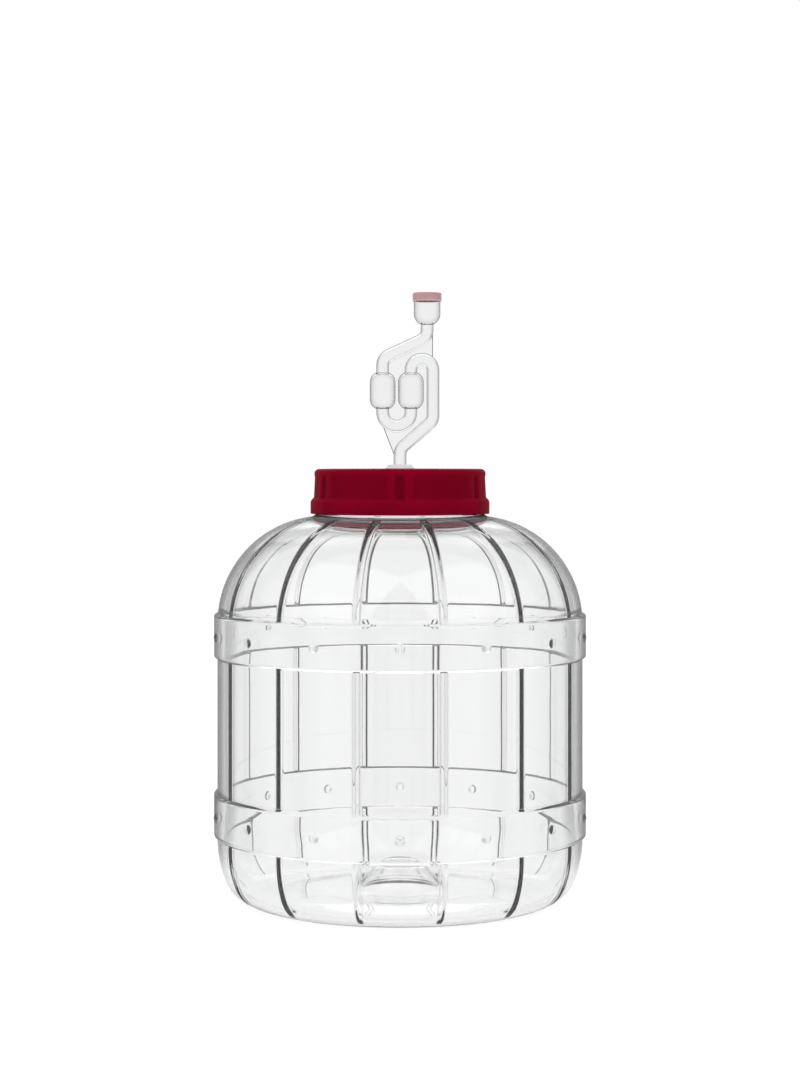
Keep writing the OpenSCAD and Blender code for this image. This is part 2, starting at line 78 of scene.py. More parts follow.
# Shader maths as Python expressions on sockets
class Socket:
    def __init__(self, tree, link):
        self.tree, self.link = tree, link

    def node(self, kind, settings, values, output=0):
        return addNode(self.tree, kind, settings, values, output)

    def math(self, operation, *others):
        return self.node("ShaderNodeMath", {"operation": operation}, [self, *others])

    def __add__(self, other):
        return self.math("ADD", other)

    def __mul__(self, other):
        return self.math("MULTIPLY", other)

    def __sub__(self, other):
        return self.math("SUBTRACT", other)

    def __rsub__(self, other):
        return self.node("ShaderNodeMath", {"operation": "SUBTRACT"}, [other, self])

    __radd__ = __add__
    __rmul__ = __mul__

    def between(self, low, high):  # 0 below low, 1 above high, smooth in between
        return self.node("ShaderNodeMapRange", {"interpolation_type": "SMOOTHSTEP"}, [self, low, high, 0.0, 1.0])


def addNode(tree, kind, settings, values, output=0):
    node = tree.nodes.new(kind)
    for name, value in settings.items():
        setattr(node, name, value)
    for key, value in (values.items() if isinstance(values, dict) else enumerate(values)):
        if isinstance(value, Socket):
            tree.links.new(value.link, node.inputs[key])
        else:
            node.inputs[key].default_value = value
    return Socket(tree, node.outputs[output]) if node.outputs else None


def newMaterial(name):
    material = bpy.data.materials.new(name)
    material.use_nodes = True
    material.node_tree.nodes.clear()
    return material, material.node_tree


def finishMaterial(tree, shader, body=None):
    addNode(tree, "ShaderNodeOutputMaterial", {}, {"Surface": shader, "Volume": body} if body else {"Surface": shader})


# Studio: bright panels with dark gaps between them, seen only through the glass and in its gloss
studio = {
    "panels": 8,             # panels round the object, so that one is behind it from each side
    "gap": (-0.8, -0.2),     # where a panel ends, as the cosine of 8 times the angle from its middle
    "middle": (0.988, 0.993),    # its narrow middle
    "middleShare": 0.84,     # how bright that is beside the rest of the panel
    "middleTop": (0.03, 0.09),   # depths between which the middle begins, and between which it ends
    "middleEnd": (0.145, 0.175),
    "fall": (0.2, 0.92),     # where the panel gets darker towards its ends
    "fallShare": 0.83,
    "highEdge": (0.5, 0.62),     # height at which the panels end, as the sine of the elevation
    "under": (0.16, 0.27),   # depth from which all is bright, as over a white table
    "table": (0.24, 0.42),   # depth at which the table is a little darker than white
    "tableShare": 0.86,
    "dark": 0.64,            # the gaps, which stay pale because some views look straight at them
    "ambient": 0.45,
    "floorShow": 0.88,       # share of the floor's white that no shadow can darken
    "floorLit": 0.3,
}


def makeWorld():
    world = bpy.data.worlds.new("studio")
    bpy.context.scene.world = world
    world.use_nodes = True
    tree = world.node_tree
    tree.nodes.clear()
    way = addNode(tree, "ShaderNodeTexCoord", {}, [], "Generated")
    x, y, z = (way.node("ShaderNodeSeparateXYZ", {}, [way], axis) for axis in "XYZ")
    turned = (x.math("ARCTAN2", y) * studio["panels"]).math("COSINE")
    deep = z * -1
    middle = deep.between(*studio["middleTop"]) * (1 - deep.between(*studio["middleEnd"]))
    middle *= turned.between(*studio["middle"])
    panel = turned.between(*studio["gap"]) * (1 - middle * (1 - studio["middleShare"]))
    panel *= studio["fallShare"] + turned.between(*studio["fall"]) * (1 - studio["fallShare"])
    panel *= 1 - z.between(*studio["highEdge"])
    under = deep.between(*studio["under"])
    panel = panel + (1 - panel) * under
    panel *= 1 - deep.between(*studio["table"]) * (1 - studio["tableShare"])
    room = studio["dark"] + panel * (1 - studio["dark"])
    camera, glossy, through = (addNode(tree, "ShaderNodeLightPath", {}, [], "Is " + ray + " Ray")
                               for ray in ("Camera", "Glossy", "Transmission"))
    polished = glossy.math("MAXIMUM", through)
    strength = polished * room + (1 - polished) * studio["ambient"]
    strength = strength.math("MAXIMUM", camera)
    light = addNode(tree, "ShaderNodeBackground", {}, {"Color": (1, 1, 1, 1), "Strength": strength})
    addNode(tree, "ShaderNodeOutputWorld", {}, {"Surface": light})
    print("world")


def makeFloor():
    bpy.ops.object.select_all(action="DESELECT")
    bpy.ops.mesh.primitive_plane_add(size=12, location=(0, 0, 0))
    floor = bpy.context.object
    floor.name = "studioFloor"
    material, tree = newMaterial("studioFloor")
    camera, glossy, through = (addNode(tree, "ShaderNodeLightPath", {}, [], "Is " + ray + " Ray")
                               for ray in ("Camera", "Glossy", "Transmission"))
    glow = addNode(tree, "ShaderNodeEmission", {}, {"Color": (1, 1, 1, 1), "Strength": studio["floorShow"]})
    lit = addNode(tree, "ShaderNodeBsdfDiffuse", {}, {"Color": (studio["floorLit"],) * 3 + (1,)})
    white = addNode(tree, "ShaderNodeAddShader", {}, [glow, lit])
    plain = addNode(tree, "ShaderNodeBsdfDiffuse", {}, {"Color": (0.85, 0.85, 0.85, 1)})
    shown = addNode(tree, "ShaderNodeMixShader", {}, [camera, plain, white])
    clear = addNode(tree, "ShaderNodeBsdfTransparent", {}, {})
    polished = glossy.math("MAXIMUM", through)
    finishMaterial(tree, addNode(tree, "ShaderNodeMixShader", {}, [polished, shown, clear]))
    floor.data.materials.append(material)
    print("floor")


lamps = [
    {"name": "leftLamp", "place": (-1.5, -1.5, 1.8), "size": 2.8, "power": 23},
    {"name": "rightLamp", "place": (1.5, -1.5, 1.8), "size": 2.8, "power": 20},
    {"name": "backLamp", "place": (0, 1.8, 1.9), "size": 2.4, "power": 14},
]


def makeLamps():
    middle = (cadLow + cadHigh) / 2
    for lamp in lamps:
        bpy.ops.object.light_add(type="AREA", location=lamp["place"])
        made = bpy.context.object
        made.name = lamp["name"]
        made.data.size = lamp["size"]
        made.data.energy = lamp["power"]
        made.rotation_euler = (middle - made.location).to_track_quat("-Z", "Y").to_euler()
    print("lamps")


# Materials
def clearGlass():
    material, tree = newMaterial("clearGlass")
    place = addNode(tree, "ShaderNodeTexCoord", {}, [], "Object")
    wave = place.node("ShaderNodeTexNoise", {}, {"Vector": place, "Scale": 14.0, "Detail": 2.0})
    bump = wave.node("ShaderNodeBump", {}, {"Height": wave, "Strength": 0.02, "Distance": 0.01})
    glass = addNode(tree, "ShaderNodeBsdfPrincipled", {}, {
        "Base Color": (1, 1, 1, 1), "Roughness": 0.0, "IOR": 1.5, "Transmission Weight": 0.975,
        "Normal": bump})
    # painted shade: a dark grey shader mixed in where the glass is seen edge on, for the dark outlines of its edges and
    # grooves
    paintedRimShade = addNode(tree, "ShaderNodeBsdfPrincipled", {}, {
        "Base Color": (0.22, 0.22, 0.22, 1), "Roughness": 0.6, "Specular IOR Level": 0.0, "Normal": bump})
    edge = addNode(tree, "ShaderNodeLayerWeight", {}, {"Blend": 0.5}, "Facing").between(0.55, 0.95) * 0.76
    edge *= place.node("ShaderNodeSeparateXYZ", {}, [place], "Z").between(0.014, 0.06)  # not on the floor
    glass = addNode(tree, "ShaderNodeMixShader", {}, [edge, glass, paintedRimShade])
    body = addNode(tree, "ShaderNodeVolumeAbsorption", {}, {"Color": (0.83, 0.845, 0.85, 1), "Density": 28.0})
    finishMaterial(tree, glass, body)
    return material


# Moulded plastic, with a painted shade on its outline: a dark grey mixed in where it is seen edge on
def clearPlastic():
    material, tree = newMaterial("clearPlastic")
    place = addNode(tree, "ShaderNodeTexCoord", {}, [], "Object")
    wave = place.node("ShaderNodeTexNoise", {}, {"Vector": place, "Scale": 90.0, "Detail": 3.0})
    bump = wave.node("ShaderNodeBump", {}, {"Height": wave, "Strength": 0.05, "Distance": 0.001})
    clear = addNode(tree, "ShaderNodeBsdfPrincipled", {}, {
        "Base Color": (0.868, 0.87, 0.873, 1), "Roughness": 0.0, "IOR": 1.12, "Transmission Weight": 1.0, "Normal": bump})
    paintedRimShade = addNode(tree, "ShaderNodeBsdfPrincipled", {}, {
        "Base Color": (0.17, 0.17, 0.175, 1), "Roughness": 0.6, "Specular IOR Level": 0.0, "Normal": bump})
    # painted shade: strong on the outline, and a faint grey wherever the plastic is seen aslant
    facing = addNode(tree, "ShaderNodeLayerWeight", {}, {"Blend": 0.5}, "Facing")
    edge = facing.between(0.55, 0.88) * 0.88 + facing.between(0.04, 0.5) * 0.12
    finishMaterial(tree, addNode(tree, "ShaderNodeMixShader", {}, [edge, clear, paintedRimShade]))
    return material


def seamAndOutlineShade():  # the weld bead along the web's edges and round the joints, painted dark grey as the shade of their outlines
    material, tree = newMaterial("seamAndOutlineShade")
    place = addNode(tree, "ShaderNodeTexCoord", {}, [], "Object")
    grain = place.node("ShaderNodeTexNoise", {}, {"Vector": place, "Scale": 300.0, "Detail": 2.0})
    colour = grain.node("ShaderNodeMix", {"data_type": "RGBA"}, {
        "Factor": grain, "A": (0.14, 0.14, 0.145, 1), "B": (0.2, 0.2, 0.205, 1)}, "Result")
    bump = grain.node("ShaderNodeBump", {}, {"Height": grain, "Strength": 0.1, "Distance": 0.0003})
    finishMaterial(tree, addNode(tree, "ShaderNodeBsdfPrincipled", {}, {
        "Base Color": colour, "Roughness": 0.4 + grain * 0.15, "Specular IOR Level": 0.3, "Normal": bump}))
    return material


def boreSurface():  # the inside of the airlock, which shows no outline of its own
    material, tree = newMaterial("boreSurface")
    place = addNode(tree, "ShaderNodeTexCoord", {}, [], "Object")
    wave = place.node("ShaderNodeTexNoise", {}, {"Vector": place, "Scale": 160.0, "Detail": 2.0})
    bump = wave.node("ShaderNodeBump", {}, {"Height": wave, "Strength": 0.05, "Distance": 0.001})
    finishMaterial(tree, addNode(tree, "ShaderNodeBsdfPrincipled", {}, {
        "Base Color": (0.985, 0.985, 0.985, 1), "Roughness": 0.0, "IOR": 1.12, "Transmission Weight": 1.0, "Normal": bump}))
    return material


def crimsonPlastic():
    material, tree = newMaterial("crimsonPlastic")
    place = addNode(tree, "ShaderNodeTexCoord", {}, [], "Object")
    cloud = place.node("ShaderNodeTexNoise", {}, {"Vector": place, "Scale": 38.0, "Detail": 4.0})
    colour = cloud.node("ShaderNodeMix", {"data_type": "RGBA"}, {
        "Factor": cloud.between(0.35, 0.65), "A": (0.24, 0.0005, 0.014, 1), "B": (0.27, 0.0008, 0.0185, 1)}, "Result")
    # painted shade: the lid's notches and sunken panels are painted a darker crimson by their depth
    recess = addNode(tree, "ShaderNodeAttribute", {"attribute_name": "recess"}, {}, "Fac")
    colour = colour.node("ShaderNodeMix", {"data_type": "RGBA"}, {
        "Factor": recess, "A": colour, "B": (0.168, 0.0004, 0.0085, 1)}, "Result")
    spark = place.node("ShaderNodeTexNoise", {}, {"Vector": place, "Scale": 1500.0, "Detail": 2.0})
    worn = place.node("ShaderNodeTexNoise", {}, {"Vector": place, "Scale": 120.0, "Detail": 5.0})
    bump = spark.node("ShaderNodeBump", {}, {"Height": spark, "Strength": 0.12, "Distance": 0.0002})
    plastic = addNode(tree, "ShaderNodeBsdfPrincipled", {}, {
        "Base Color": colour, "Roughness": 0.5 + worn * 0.16, "IOR": 1.12, "Specular IOR Level": 0.2, "Normal": bump})
    finishMaterial(tree, plastic)
    return material


def sealRubber():
    material, tree = newMaterial("sealRubber")
    place = addNode(tree, "ShaderNodeTexCoord", {}, [], "Object")
    cloud = place.node("ShaderNodeTexNoise", {}, {"Vector": place, "Scale": 60.0, "Detail": 4.0})
    colour = cloud.node("ShaderNodeMix", {"data_type": "RGBA"}, {
        "Factor": cloud.between(0.3, 0.7), "A": (0.78, 0.75, 0.7, 1), "B": (0.86, 0.84, 0.8, 1)}, "Result")
    grain = place.node("ShaderNodeTexNoise", {}, {"Vector": place, "Scale": 2200.0, "Detail": 2.0})
    bump = grain.node("ShaderNodeBump", {}, {"Height": grain, "Strength": 0.2, "Distance": 0.0002})
    finishMaterial(tree, addNode(tree, "ShaderNodeBsdfPrincipled", {}, {
        "Base Color": colour, "Roughness": 0.55 + grain * 0.15, "Specular IOR Level": 0.3, "Normal": bump}))
    return material


# Silicone: white flanges, and a body that shows a pinkish grey
def paleSilicone():
    material, tree = newMaterial("paleSilicone")
    place = addNode(tree, "ShaderNodeTexCoord", {}, [], "Object")
    height = place.node("ShaderNodeSeparateXYZ", {}, [place], "Z")
    level = (height + -grommet["z"] * mm) * (1 / mm)
    white = level.between(grommet["flangeZ"] - 0.15, grommet["flangeZ"] + 0.1)
    cloud = place.node("ShaderNodeTexNoise", {}, {"Vector": place, "Scale": 260.0, "Detail": 3.0})
    body = cloud.node("ShaderNodeMix", {"data_type": "RGBA"}, {
        "Factor": cloud.between(0.3, 0.7), "A": (0.9, 0.855, 0.855, 1), "B": (0.93, 0.895, 0.895, 1)}, "Result")
    colour = body.node("ShaderNodeMix", {"data_type": "RGBA"}, {
        "Factor": white, "A": body, "B": (0.95, 0.94, 0.94, 1)}, "Result")
    bump = cloud.node("ShaderNodeBump", {}, {"Height": cloud, "Strength": 0.1, "Distance": 0.0004})
    finishMaterial(tree, addNode(tree, "ShaderNodeBsdfPrincipled", {}, {
        "Base Color": colour, "Roughness": 0.4 + cloud * 0.15, "Specular IOR Level": 0.3,
        "Subsurface Weight": 0.25, "Subsurface Radius": (0.003, 0.003, 0.003), "Normal": bump}))
    return material


def pinkPlastic():
    material, tree = newMaterial("pinkPlastic")
    place = addNode(tree, "ShaderNodeTexCoord", {}, [], "Object")
    height = place.node("ShaderNodeSeparateXYZ", {}, [place], "Z")
    level = (height + -cap["z"] * mm) * (1 / mm)
    cloud = place.node("ShaderNodeTexNoise", {}, {"Vector": place, "Scale": 220.0, "Detail": 4.0})
    body = cloud.node("ShaderNodeMix", {"data_type": "RGBA"}, {
        "Factor": cloud.between(0.3, 0.7), "A": (0.6, 0.335, 0.345, 1), "B": (0.63, 0.365, 0.38, 1)}, "Result")
    colour = body.node("ShaderNodeMix", {"data_type": "RGBA"}, {
        "Factor": level.between(0.2, 1.7), "A": (0.72, 0.52, 0.52, 1), "B": body}, "Result")
    bump = cloud.node("ShaderNodeBump", {}, {"Height": cloud, "Strength": 0.06, "Distance": 0.0004})
    finishMaterial(tree, addNode(tree, "ShaderNodeBsdfPrincipled", {}, {
        "Base Color": colour, "Roughness": 0.3 + cloud * 0.12, "Specular IOR Level": 0.3,
        "Subsurface Weight": 0.35, "Subsurface Radius": (0.004, 0.002, 0.002), "Normal": bump}))
    return material


# Outlines are lists of (distance from the axis, height), in millimetres
def arc(centreR, centreZ, radius, fromAngle, toAngle, steps):
    angles = np.radians(np.linspace(fromAngle, toAngle, steps + 1))
    return [(centreR + radius * math.cos(a), centreZ + radius * math.sin(a)) for a in angles]


def smoothStep(values, low, high):
    share = np.clip((values - low) / (high - low), 0, 1)
    return share * share * (3 - 2 * share)


def spinOutline(name, outline, steps, closed=False):
    bpy.ops.object.select_all(action="DESELECT")
    bpy.ops.mesh.primitive_circle_add(vertices=len(outline), radius=1)
    piece = bpy.context.object
    piece.name = name
    rows = piece.data.attributes.new("row", "INT", "POINT")
    for index, (r, z) in enumerate(outline):
        piece.data.vertices[index].co = (r * mm, 0, z * mm)
        rows.data[index].value = index
    for edge in piece.data.edges:  # the circle's closing edge
        edge.select = not closed and set(edge.vertices) == {0, len(outline) - 1}
    for vertex in piece.data.vertices:
        vertex.select = False
    bpy.ops.object.mode_set(mode="EDIT")
    if not closed:
        bpy.ops.mesh.select_mode(type="EDGE")
        bpy.ops.mesh.delete(type="EDGE")
        bpy.ops.mesh.select_mode(type="VERT")
    bpy.ops.mesh.select_all(action="SELECT")
    bpy.ops.mesh.spin(steps=steps, angle=2 * math.pi, center=(0, 0, 0), axis=(0, 0, 1))
    bpy.ops.mesh.select_all(action="SELECT")
    bpy.ops.mesh.remove_doubles(threshold=1e-6)
    bpy.ops.object.mode_set(mode="OBJECT")
    return piece


def placesOf(piece):
    places = np.empty(len(piece.data.vertices) * 3, np.float32)
    piece.data.vertices.foreach_get("co", places)
    return places.reshape(-1, 3).astype(float)


def rowsOf(piece):
    rows = np.empty(len(piece.data.vertices), np.int32)
    piece.data.attributes["row"].data.foreach_get("value", rows)
    return rows


def setPlaces(piece, places):
    piece.data.vertices.foreach_set("co", places.astype(np.float32).ravel())
    piece.data.update()


def joinPieces(name, pieces):
    bpy.ops.object.select_all(action="DESELECT")
    for piece in pieces:
        piece.select_set(True)
    bpy.context.view_layer.objects.active = pieces[0]
    bpy.ops.object.join()
    pieces[0].name = name
    return pieces[0]


def bridgeNear(piece, radius, height, reach):  # joins the two open rims that lie near one place of the outline
    places = placesOf(piece) / mm
    near = np.hypot(np.hypot(places[:, 0], places[:, 1]) - radius, places[:, 2] - height) < reach
    mesh = piece.data
    uses = np.zeros(len(mesh.edges), int)
    for face in mesh.polygons:
        for key in face.loop_indices:
            uses[mesh.loops[key].edge_index] += 1
    for face in mesh.polygons:
        face.select = False
    for vertex in mesh.vertices:
        vertex.select = False
    for edge in mesh.edges:
        edge.select = bool(uses[edge.index] == 1 and near[edge.vertices[0]] and near[edge.vertices[1]])
    bpy.ops.object.mode_set(mode="EDIT")
    bpy.ops.mesh.select_mode(type="EDGE")
    bpy.ops.mesh.bridge_edge_loops()
    bpy.ops.mesh.select_mode(type="VERT")
    bpy.ops.object.mode_set(mode="OBJECT")


def closeShell(piece):
    bpy.ops.object.mode_set(mode="EDIT")
    bpy.ops.mesh.select_all(action="SELECT")
    bpy.ops.mesh.normals_make_consistent(inside=False)
    bpy.ops.object.mode_set(mode="OBJECT")
    bpy.ops.object.shade_smooth()


jar = {
    "bodyR": 123.8, "neckR": 54.4, "height": 288, "wall": 5, "neckWall": 3.9,
    "shoulderR": 51.8, "shoulderZ": 188.9, "shoulderArc": 72,
    "heelR": 53.8, "heelZ": 42, "heelArc": 70, "heelEdge": 25.69, "heelTurn": 21.6,
    "footOut": 95, "footIn": 89, "floorRise": 3, "floorSlope": 36, "puntTop": 10, "puntR": 33, "puntH": 21,
    "staves": 14, "grooveFloor": 0.8, "grooveEdge": 2.95, "grooveDeep": 2.6, "grooveTop": 67.9,
    "hoops": [44.5, 165], "hoopHigh": 30.5, "hoopProud": 2.3, "hoopSlope": 1.4,
    "rivetR": 3.5, "rivetHigh": 1.6,
    "beadZ": 269.3, "beadR": 1.85, "beadOut": 57.8, "neckFillet": 8,
    "lipR": 1.95, "threadZ": 277.5, "threadLead": 38, "threadSpan": 50, "threads": 6,
    "threadProud": 1.6, "threadHalf": 1.3, "mouthArc": 2.6,
}


def floorHeight(r):
    rise = jar["floorRise"] * (1 - smoothStep(r, jar["footIn"] - jar["floorSlope"], jar["footIn"]))
    return rise + jar["puntH"] * (1 - smoothStep(r, jar["puntTop"], jar["puntR"]))


# Distances from the middle of a rivet at which the rows and columns lie that are bent into rings round it
rivetRings = [0, 1.1, 2.1, 2.9, 3.5, 3.75, 4.6]


def hoopRows(z):
    top, out = z + jar["hoopHigh"], jar["bodyR"] + jar["hoopProud"]
    slope, soft = jar["hoopSlope"], 0.35
    mid = z + jar["hoopHigh"] / 2
    rows = [(jar["bodyR"], z - 0.9), (jar["bodyR"], z - 0.3), (jar["bodyR"] + 0.1, z + 0.05)]
    rows += [(out - 0.5, z + slope - 0.35), (out - 0.08, z + slope + soft * 0.4), (out, z + slope + 1.1)]
    rows += [(out, mid - ring) for ring in rivetRings[:0:-1]] + [(out, mid + ring) for ring in rivetRings]
    rows += [(out, top - slope - 1.1), (out - 0.08, top - slope - soft * 0.4), (out - 0.5, top - slope + 0.35)]
    return rows + [(jar["bodyR"] + 0.1, top - 0.05), (jar["bodyR"], top + 0.3), (jar["bodyR"], top + 0.9)]


floorRadii = [0, 5, 9, 10.5, 12, 13.5, 15, 17, 19, 21, 23, 25, 27, 29, 30.5, 32, 33.5, 38, 45, 52, 58, 64, 70, 76, 81, 85, jar["footIn"]]


def jarUnderside():
    return [(r, floorHeight(r)) for r in floorRadii]


def jarOutside():
    foot = jar["footOut"]
    rows = [((jar["footIn"] + foot) / 2, 0)]
    rows += arc(foot, jar["heelEdge"], jar["heelEdge"], -90, -jar["heelTurn"], 14)
    rows += arc(jar["heelR"], jar["heelZ"], jar["heelArc"], -jar["heelTurn"], 0, 8)[1:]
    rows += hoopRows(jar["hoops"][0])
    rows += [(jar["bodyR"], z) for z in (100, 120, 140)]
    rows += hoopRows(jar["hoops"][1])[:-2]
    # the shoulder starts under the upper hoop's top edge
    top = jar["hoops"][1] + jar["hoopHigh"]
    start = math.degrees(math.asin((top + 0.3 - jar["shoulderZ"]) / jar["shoulderArc"]))
    end = math.degrees(math.acos((jar["grooveTop"] - jar["shoulderR"]) / jar["shoulderArc"]))
    centre = (jar["shoulderR"], jar["shoulderZ"], jar["shoulderArc"])
    rows += arc(*centre, start, end - 3, 21)
    rows += arc(*centre, end - 2.4, end + 3.6, 10)
    reach = jar["neckR"] + jar["neckFillet"] - jar["shoulderR"]
    rise = math.sqrt((jar["shoulderArc"] + jar["neckFillet"]) ** 2 - reach ** 2)
    touch = math.degrees(math.atan2(rise, reach))
    rows += arc(*centre, end + 4.2, touch, 2)
    return rows, (jar["neckR"] + jar["neckFillet"], jar["shoulderZ"] + rise, touch)


def neckOutside(filletR, filletZ, touch):
    bead = jar["beadR"]
    beadR = jar["beadOut"] - bead
    rows = arc(filletR, filletZ, jar["neckFillet"], touch + 180 + 5, 260 - 84, 9)
    rows = [row for row in rows if row[1] < jar["beadZ"] - bead - 0.2]
    rows += [(jar["neckR"] + 0.12, jar["beadZ"] - bead - 0.12), (jar["neckR"] + 0.7, jar["beadZ"] - bead)]
    rows += arc(beadR, jar["beadZ"], bead, -90, 90, 10)
    rows += [(jar["neckR"] + 0.7, jar["beadZ"] + bead), (jar["neckR"] + 0.12, jar["beadZ"] + bead + 0.12)]
    lip = jar["neckR"] - jar["lipR"]
    lipZ = jar["height"] - jar["lipR"]
    rows += [(jar["neckR"], z) for z in np.arange(jar["beadZ"] + bead + 0.6, lipZ - 0.4, 0.48)]
    rows += arc(lip, lipZ, jar["lipR"], 0, 180, 12)
    return rows


def jarInside():
    wall = jar["wall"]
    mouth = jar["neckR"] - jar["neckWall"]
    arcR = jar["shoulderArc"] - wall
    reach = mouth + jar["mouthArc"] - jar["shoulderR"]
    rise = math.sqrt((arcR + jar["mouthArc"]) ** 2 - reach ** 2)
    touch = math.degrees(math.atan2(rise, reach))
    rows = [(mouth, jar["height"] - jar["lipR"] - 1.2), (mouth, 275), (mouth, 264)]
    rows += arc(mouth + jar["mouthArc"], jar["shoulderZ"] + rise, jar["mouthArc"], 180, 180 + touch, 8)
    rows += arc(jar["shoulderR"], jar["shoulderZ"], arcR, touch - 2, 0, 24)
    rows += [(jar["bodyR"] - wall, 150), (jar["bodyR"] - wall, 90)]
    rows += arc(jar["heelR"], jar["heelZ"], jar["heelArc"] - wall, 0, -jar["heelTurn"], 8)
    rows += arc(jar["footOut"], jar["heelEdge"], jar["heelEdge"] - wall, -jar["heelTurn"], -90, 12)[1:]
    return rows + [(r, floorHeight(r) + wall) for r in floorRadii[::-1]]


# Columns of half a stave, in millimetres from the groove's middle: close at the groove and at the rivet
halfStave = math.pi / jar["staves"] * jar["bodyR"]
staveColumns = [0, 0.8, 1.2, 1.6, 2.0, 2.4, 2.75, 3.0, 4.0, 6.5, 11, 16, 20.5]
staveColumns += [halfStave - ring * jar["bodyR"] / (jar["bodyR"] + jar["hoopProud"]) for ring in rivetRings[::-1]]


# For evenly spun columns: which of the repeats a vertex belongs to, on which side of it, and how far from it
def columnOffsets(places, repeats, offsets):
    half = len(offsets) - 1
    index = np.round(np.arctan2(places[:, 1], places[:, 0]) / (math.pi / (repeats * half))).astype(int)
    repeat = np.floor_divide(index, 2 * half)
    within = index - repeat * 2 * half
    near = within <= half
    return np.where(near, repeat, repeat + 1), np.where(near, 1, -1), np.array(offsets)[np.where(near, within, 2 * half - within)]


def outlineNormals(outline):
    tangent = np.gradient(outline, axis=0)
    normal = np.stack([tangent[:, 1], -tangent[:, 0]], axis=1)
    return normal / np.linalg.norm(normal, axis=1)[:, None]


def shapeStaves(piece, rows):
    outline = np.array(rows)
    repeat, side, offset = columnOffsets(placesOf(piece), jar["staves"], staveColumns)
    row = rowsOf(piece)
    r, z = outline[row, 0], outline[row, 1]
    half = math.pi / jar["staves"]
    edge = jar["grooveEdge"] + 1.0
    wide = np.maximum(r, 60)
    # near a groove the columns keep their distance in millimetres, and the others share the rest
    angle = np.where(offset <= edge, offset / wide,
                     edge / wide + (offset - edge) / (halfStave - edge) * (half - edge / wide))
    # grooves, which end in a half round on the shoulder and run out under the heel
    beyond = np.maximum(0, jar["grooveTop"] - r) * (z > jar["shoulderZ"])
    share = 1 - smoothStep(np.hypot(r * angle, beyond), jar["grooveFloor"], jar["grooveEdge"])
    deep = np.full(len(r), float(jar["grooveDeep"]))
    runOut = np.hypot(r - jar["heelR"], z - jar["heelZ"]) - (jar["heelArc"] - jar["grooveDeep"])
    deep = np.where(z < jar["heelZ"], np.clip(runOut, 0, jar["grooveDeep"]) * (r > jar["footOut"]), deep)
    for hoop in jar["hoops"]:
        deep = np.where((z > hoop - 0.2) & (z < hoop + jar["hoopHigh"] + 0.2), 0, deep)
    move = -share * deep
    # rivet heads: the square rings of rows and columns are bent round, and domed
    ball = (jar["rivetR"] ** 2 + jar["rivetHigh"] ** 2) / (2 * jar["rivetHigh"])
    proud = r > jar["bodyR"] + jar["hoopProud"] - 0.01
    across = (halfStave - offset) * r / jar["bodyR"]
    for hoop in jar["hoops"]:
        up = z - hoop - jar["hoopHigh"] / 2
        ring = np.maximum(np.abs(across), np.abs(up))
        near = proud & (ring < rivetRings[-1] - 0.01) & (ring > 0)
        bend = np.clip((rivetRings[-1] - ring) / (rivetRings[-1] - rivetRings[-2]), 0, 1)
        scale = 1 - bend * (1 - ring / np.maximum(np.hypot(across, up), 1e-6))
        scale = np.where(near, scale, 1)
        z = z + (scale - 1) * up
        angle = half - (half - angle) * scale
        dome = np.sqrt(np.maximum(0, ball ** 2 - ring ** 2)) - (ball - jar["rivetHigh"])
        move = np.where(proud & (ring < jar["rivetR"]), np.maximum(dome, 0), move)
    normal = outlineNormals(outline)[row]
    r, z = r + move * normal[:, 0], z + move * normal[:, 1]
    turned = math.radians(-90) + half + repeat * 2 * half + side * angle
    setPlaces(piece, np.stack([r * np.cos(turned), r * np.sin(turned), z], axis=1) * mm)


def shapeThread(piece):
    places = placesOf(piece) / mm
    r = np.hypot(places[:, 0], places[:, 1])
    turned = np.degrees(np.arctan2(places[:, 1], places[:, 0]))
    apart = 360 / jar["threads"]
    fromMiddle = (turned + 90 - apart / 2 + apart / 2) % apart - apart / 2
    along = np.radians(fromMiddle) * jar["neckR"]
    rise = jar["threadZ"] + fromMiddle / 360 * jar["threadLead"]
    halfLong = math.radians(jar["threadSpan"] / 2) * jar["neckR"]
    beyond = np.maximum(0, np.abs(along) - halfLong)
    distance = np.hypot(places[:, 2] - rise, beyond)
    proud = jar["threadProud"] * (1 - smoothStep(distance, jar["threadHalf"] * 0.25, jar["threadHalf"]))
    proud = np.where((r > jar["neckR"] - 0.05) & (places[:, 2] > jar["beadZ"] + jar["beadR"] + 0.3), proud, 0)
    places[:, 0] *= (r + proud) / r
    places[:, 1] *= (r + proud) / r
    setPlaces(piece, places * mm)


def makeJar(look):
    outside, fillet = jarOutside()
    body = spinOutline("jarBody", outside, jar["staves"] * 2 * (len(staveColumns) - 1))
    shapeStaves(body, outside)
    neckRows = neckOutside(*fillet)
    neck = spinOutline("jarNeck", neckRows, 280)
    shapeThread(neck)
    insideRows = jarInside()
    inside = spinOutline("jarInside", insideRows, 140)
    underRows = jarUnderside()
    under = spinOutline("jarUnderside", underRows, 140)
    shell = joinPieces("jarShell", [body, neck, inside, under])
    for first, second in ((outside[-1], neckRows[0]), (neckRows[-1], insideRows[0]), (underRows[-1], outside[0])):
        bridgeNear(shell, (first[0] + second[0]) / 2, (first[1] + second[1]) / 2, 2.5)
    closeShell(shell)
    shell.data.materials.append(look)
    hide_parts("jar")
    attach(shell, "jar")
    print("jar", len(shell.data.polygons))


def pickPiece(piece):
    bpy.ops.object.select_all(action="DESELECT")
    piece.select_set(True)
    bpy.context.view_layer.objects.active = piece


